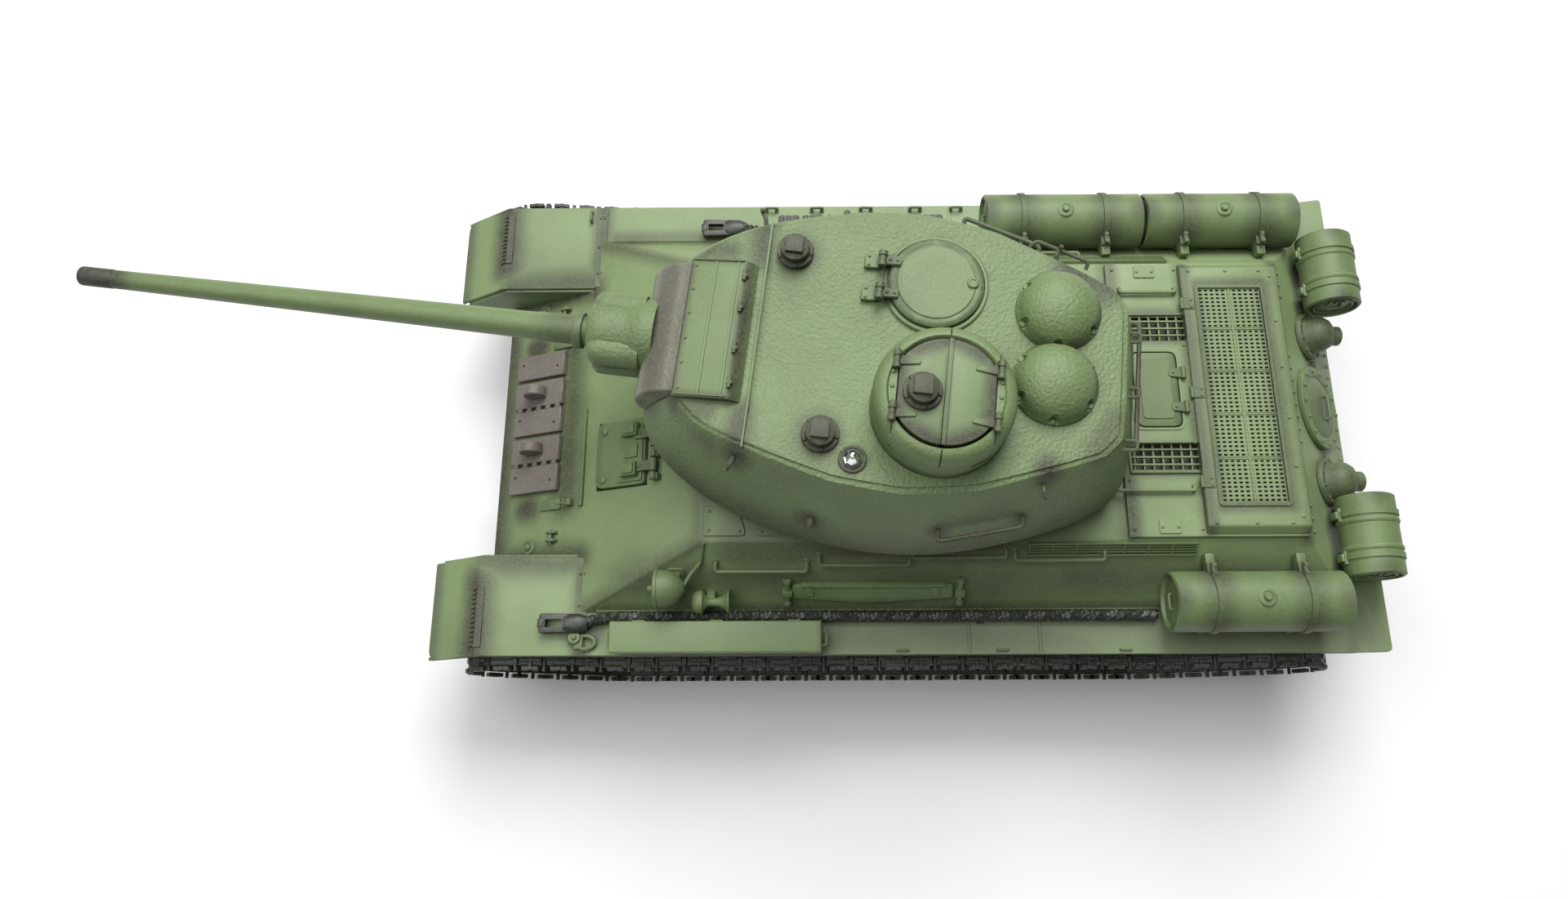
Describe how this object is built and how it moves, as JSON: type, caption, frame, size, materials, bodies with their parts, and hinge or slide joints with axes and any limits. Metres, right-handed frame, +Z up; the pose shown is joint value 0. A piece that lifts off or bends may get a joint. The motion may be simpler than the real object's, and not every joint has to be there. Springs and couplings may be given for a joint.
{
  "type": "rc tank",
  "caption": "Radio-controlled tank with a turning cast turret, elevating long gun, opening hatches and two fixed tracks over turning road wheels.",
  "frame": {"origin": "centre of the bounding box in plan, on the ground under the tracks, with the turret turned 7 degrees to the right as at rest", "axes": "+X to the front of the tank, +Y to its left side, +Z up"},
  "size_m": [0.3343, 0.1364, 0.1144],
  "materials": {
    "hull_lower": "matt",
    "hull_upper": "matt",
    "engine_deck": "matt",
    "rear_hatch": "matt",
    "exhaust_left": "matt",
    "exhaust_right": "matt",
    "spare_links": "matt",
    "headlight": "matt",
    "horn": "matt",
    "saw_box": "matt",
    "stowage_box": "matt",
    "tow_cable_left": "matt",
    "tow_cable_right": "matt",
    "fuel_drum_left": "matt",
    "fuel_drum_right_front": "matt",
    "fuel_drum_right_rear": "matt",
    "smoke_canister_left": "matt",
    "smoke_canister_right": "matt",
    "battery_cover": "matt",
    "battery": "matt",
    "circuit_board": "matt",
    "speaker": "matt",
    "gearbox_left": "matt",
    "gearbox_right": "matt",
    "turret_drive": "matt",
    "track_left": "matt",
    "track_right": "matt",
    "turret_shell": "matt",
    "turret_ring": "matt",
    "cupola": "matt",
    "vent_domes": "matt",
    "reflector": "bright",
    "mantlet": "matt",
    "barrel": "matt",
    "cupola_hatch_front": "matt",
    "cupola_hatch_rear": "matt",
    "loader_hatch": "matt",
    "periscope_left": "matt",
    "periscope_right": "matt",
    "periscope_cupola": "matt",
    "driver_hatch": "matt",
    "engine_hatch": "matt",
    "bow_mg": "matt",
    "power_switch": "matt",
    "turret_pinion": "bright",
    "road_wheel_left_1": "matt",
    "road_wheel_left_2": "matt",
    "road_wheel_left_3": "matt",
    "road_wheel_left_4": "matt",
    "road_wheel_left_5": "matt",
    "idler_left": "matt",
    "sprocket_left": "matt",
    "road_wheel_right_1": "matt",
    "road_wheel_right_2": "matt",
    "road_wheel_right_3": "matt",
    "road_wheel_right_4": "matt",
    "road_wheel_right_5": "matt",
    "idler_right": "matt",
    "sprocket_right": "matt"
  },
  "bodies": {
    "hull": {"hull_lower": "hull_lower", "hull_upper": "hull_upper", "engine_deck": "engine_deck", "rear_hatch": "rear_hatch", "exhaust_left": "exhaust_left", "exhaust_right": "exhaust_right", "spare_links": "spare_links", "headlight": "headlight", "horn": "horn", "saw_box": "saw_box", "stowage_box": "stowage_box", "tow_cable_left": "tow_cable_left", "tow_cable_right": "tow_cable_right", "fuel_drum_left": "fuel_drum_left", "fuel_drum_right_front": "fuel_drum_right_front", "fuel_drum_right_rear": "fuel_drum_right_rear", "smoke_canister_left": "smoke_canister_left", "smoke_canister_right": "smoke_canister_right", "battery_cover": "battery_cover", "battery": "battery", "circuit_board": "circuit_board", "speaker": "speaker", "gearbox_left": "gearbox_left", "gearbox_right": "gearbox_right", "turret_drive": "turret_drive", "track_left": "track_left", "track_right": "track_right"},
    "turret": {"turret_shell": "turret_shell", "turret_ring": "turret_ring", "cupola": "cupola", "vent_domes": "vent_domes", "reflector": "reflector"},
    "gun": {"mantlet": "mantlet"},
    "barrel": {"barrel": "barrel"},
    "cupola_hatch_front": {"cupola_hatch_front": "cupola_hatch_front"},
    "cupola_hatch_rear": {"cupola_hatch_rear": "cupola_hatch_rear"},
    "loader_hatch": {"loader_hatch": "loader_hatch"},
    "periscope_left": {"periscope_left": "periscope_left"},
    "periscope_right": {"periscope_right": "periscope_right"},
    "periscope_cupola": {"periscope_cupola": "periscope_cupola"},
    "driver_hatch": {"driver_hatch": "driver_hatch"},
    "engine_hatch": {"engine_hatch": "engine_hatch"},
    "bow_mg": {"bow_mg": "bow_mg"},
    "power_switch": {"power_switch": "power_switch"},
    "turret_pinion": {"turret_pinion": "turret_pinion"},
    "road_wheel_left_1": {"road_wheel_left_1": "road_wheel_left_1"},
    "road_wheel_left_2": {"road_wheel_left_2": "road_wheel_left_2"},
    "road_wheel_left_3": {"road_wheel_left_3": "road_wheel_left_3"},
    "road_wheel_left_4": {"road_wheel_left_4": "road_wheel_left_4"},
    "road_wheel_left_5": {"road_wheel_left_5": "road_wheel_left_5"},
    "idler_left": {"idler_left": "idler_left"},
    "sprocket_left": {"sprocket_left": "sprocket_left"},
    "road_wheel_right_1": {"road_wheel_right_1": "road_wheel_right_1"},
    "road_wheel_right_2": {"road_wheel_right_2": "road_wheel_right_2"},
    "road_wheel_right_3": {"road_wheel_right_3": "road_wheel_right_3"},
    "road_wheel_right_4": {"road_wheel_right_4": "road_wheel_right_4"},
    "road_wheel_right_5": {"road_wheel_right_5": "road_wheel_right_5"},
    "idler_right": {"idler_right": "idler_right"},
    "sprocket_right": {"sprocket_right": "sprocket_right"}
  },
  "joints": [
    {"name": "turret_yaw", "type": "hinge", "parent": "hull", "child": "turret", "pos_m": [-0.0465, 0, 0.064], "axis": [0, 0, 1], "range_deg": [-113, 127]},
    {"name": "pinion_spin", "type": "hinge", "parent": "hull", "child": "turret_pinion", "pos_m": [-0.07, 0, 0.06], "axis": [0, 0, 1], "range_deg": [-760, 850]},
    {"name": "gun_elevation", "type": "hinge", "parent": "turret", "child": "gun", "pos_m": [0.01157, -0.00713, 0.082], "axis": [-0.1219, -0.9925, 0], "range_deg": [-5, 18]},
    {"name": "barrel_recoil", "type": "slide", "parent": "gun", "child": "barrel", "axis": [0.9925, -0.1219, 0], "range_m": [-0.008, 0], "stiffness_N_per_m": 60, "springref_m": 0.002},
    {"name": "cupola_flap_front", "type": "hinge", "parent": "turret", "child": "cupola_hatch_front", "pos_m": [-0.03492, 0.01309, 0.1107], "axis": [0.1219, 0.9925, 0], "range_deg": [0, 105]},
    {"name": "cupola_flap_rear", "type": "hinge", "parent": "turret", "child": "cupola_hatch_rear", "pos_m": [-0.05774, 0.01589, 0.1107], "axis": [-0.1219, -0.9925, 0], "range_deg": [0, 105]},
    {"name": "loader_flap", "type": "hinge", "parent": "turret", "child": "loader_hatch", "pos_m": [-0.03343, -0.01833, 0.099], "axis": [0.1219, 0.9925, 0], "range_deg": [0, 100]},
    {"name": "periscope_left_turn", "type": "hinge", "parent": "turret", "child": "periscope_left", "pos_m": [-0.01871, 0.02037, 0.0963], "axis": [0, 0, 1], "continuous": true},
    {"name": "periscope_right_turn", "type": "hinge", "parent": "turret", "child": "periscope_right", "pos_m": [-0.01314, -0.02535, 0.0963], "axis": [0, 0, 1], "continuous": true},
    {"name": "periscope_cupola_turn", "type": "hinge", "parent": "cupola_hatch_front", "child": "periscope_cupola", "pos_m": [-0.04097, 0.01464, 0.1096], "axis": [0, 0, 1], "continuous": true},
    {"name": "driver_flap", "type": "hinge", "parent": "hull", "child": "driver_hatch", "pos_m": [0.0248, 0.012, 0.05749], "axis": [0, -1, 0], "range_deg": [0, 50]},
    {"name": "engine_flap", "type": "hinge", "parent": "hull", "child": "engine_hatch", "pos_m": [-0.1143, -0.001, 0.065], "axis": [0, -1, 0], "range_deg": [0, 95]},
    {"name": "bow_gun_pitch", "type": "hinge", "parent": "hull", "child": "bow_mg", "pos_m": [0.0333, -0.0215, 0.05232], "axis": [0, -1, 0], "range_deg": [-6, 12]},
    {"name": "switch_slide", "type": "slide", "parent": "hull", "child": "power_switch", "axis": [1, 0, 0], "range_m": [0, 0.003]},
    {"name": "sprocket_left_spin", "type": "hinge", "parent": "hull", "child": "sprocket_left", "pos_m": [-0.1417, 0.0566, 0.0285], "axis": [0, 1, 0], "continuous": true},
    {"name": "idler_left_spin", "type": "hinge", "parent": "hull", "child": "idler_left", "pos_m": [0.0638, 0.0566, 0.029], "axis": [0, 1, 0], "continuous": true},
    {"name": "wheel_left_1_spin", "type": "hinge", "parent": "hull", "child": "road_wheel_left_1", "pos_m": [0.0348, 0.0566, 0.0195], "axis": [0, 1, 0], "continuous": true},
    {"name": "wheel_left_2_spin", "type": "hinge", "parent": "hull", "child": "road_wheel_left_2", "pos_m": [-0.0007, 0.0566, 0.0195], "axis": [0, 1, 0], "continuous": true},
    {"name": "wheel_left_3_spin", "type": "hinge", "parent": "hull", "child": "road_wheel_left_3", "pos_m": [-0.0397, 0.0566, 0.0195], "axis": [0, 1, 0], "continuous": true},
    {"name": "wheel_left_4_spin", "type": "hinge", "parent": "hull", "child": "road_wheel_left_4", "pos_m": [-0.0757, 0.0566, 0.0195], "axis": [0, 1, 0], "continuous": true},
    {"name": "wheel_left_5_spin", "type": "hinge", "parent": "hull", "child": "road_wheel_left_5", "pos_m": [-0.1112, 0.0566, 0.0195], "axis": [0, 1, 0], "continuous": true},
    {"name": "sprocket_right_spin", "type": "hinge", "parent": "hull", "child": "sprocket_right", "pos_m": [-0.1417, -0.0566, 0.0285], "axis": [0, 1, 0], "continuous": true},
    {"name": "idler_right_spin", "type": "hinge", "parent": "hull", "child": "idler_right", "pos_m": [0.0638, -0.0566, 0.029], "axis": [0, 1, 0], "continuous": true},
    {"name": "wheel_right_1_spin", "type": "hinge", "parent": "hull", "child": "road_wheel_right_1", "pos_m": [0.0348, -0.0566, 0.0195], "axis": [0, 1, 0], "continuous": true},
    {"name": "wheel_right_2_spin", "type": "hinge", "parent": "hull", "child": "road_wheel_right_2", "pos_m": [-0.0007, -0.0566, 0.0195], "axis": [0, 1, 0], "continuous": true},
    {"name": "wheel_right_3_spin", "type": "hinge", "parent": "hull", "child": "road_wheel_right_3", "pos_m": [-0.0397, -0.0566, 0.0195], "axis": [0, 1, 0], "continuous": true},
    {"name": "wheel_right_4_spin", "type": "hinge", "parent": "hull", "child": "road_wheel_right_4", "pos_m": [-0.0757, -0.0566, 0.0195], "axis": [0, 1, 0], "continuous": true},
    {"name": "wheel_right_5_spin", "type": "hinge", "parent": "hull", "child": "road_wheel_right_5", "pos_m": [-0.1112, -0.0566, 0.0195], "axis": [0, 1, 0], "continuous": true}
  ],
  "couplings": [
    {"joint": "pinion_spin", "follows": "turret_yaw", "ratio": 6.2222},
    {"joint": "idler_left_spin", "follows": "sprocket_left_spin", "ratio": 1.0778},
    {"joint": "wheel_left_1_spin", "follows": "sprocket_left_spin", "ratio": 0.75477},
    {"joint": "wheel_left_2_spin", "follows": "sprocket_left_spin", "ratio": 0.75477},
    {"joint": "wheel_left_3_spin", "follows": "sprocket_left_spin", "ratio": 0.75477},
    {"joint": "wheel_left_4_spin", "follows": "sprocket_left_spin", "ratio": 0.75477},
    {"joint": "wheel_left_5_spin", "follows": "sprocket_left_spin", "ratio": 0.75477},
    {"joint": "idler_right_spin", "follows": "sprocket_right_spin", "ratio": 1.0778},
    {"joint": "wheel_right_1_spin", "follows": "sprocket_right_spin", "ratio": 0.75477},
    {"joint": "wheel_right_2_spin", "follows": "sprocket_right_spin", "ratio": 0.75477},
    {"joint": "wheel_right_3_spin", "follows": "sprocket_right_spin", "ratio": 0.75477},
    {"joint": "wheel_right_4_spin", "follows": "sprocket_right_spin", "ratio": 0.75477},
    {"joint": "wheel_right_5_spin", "follows": "sprocket_right_spin", "ratio": 0.75477}
  ]
}
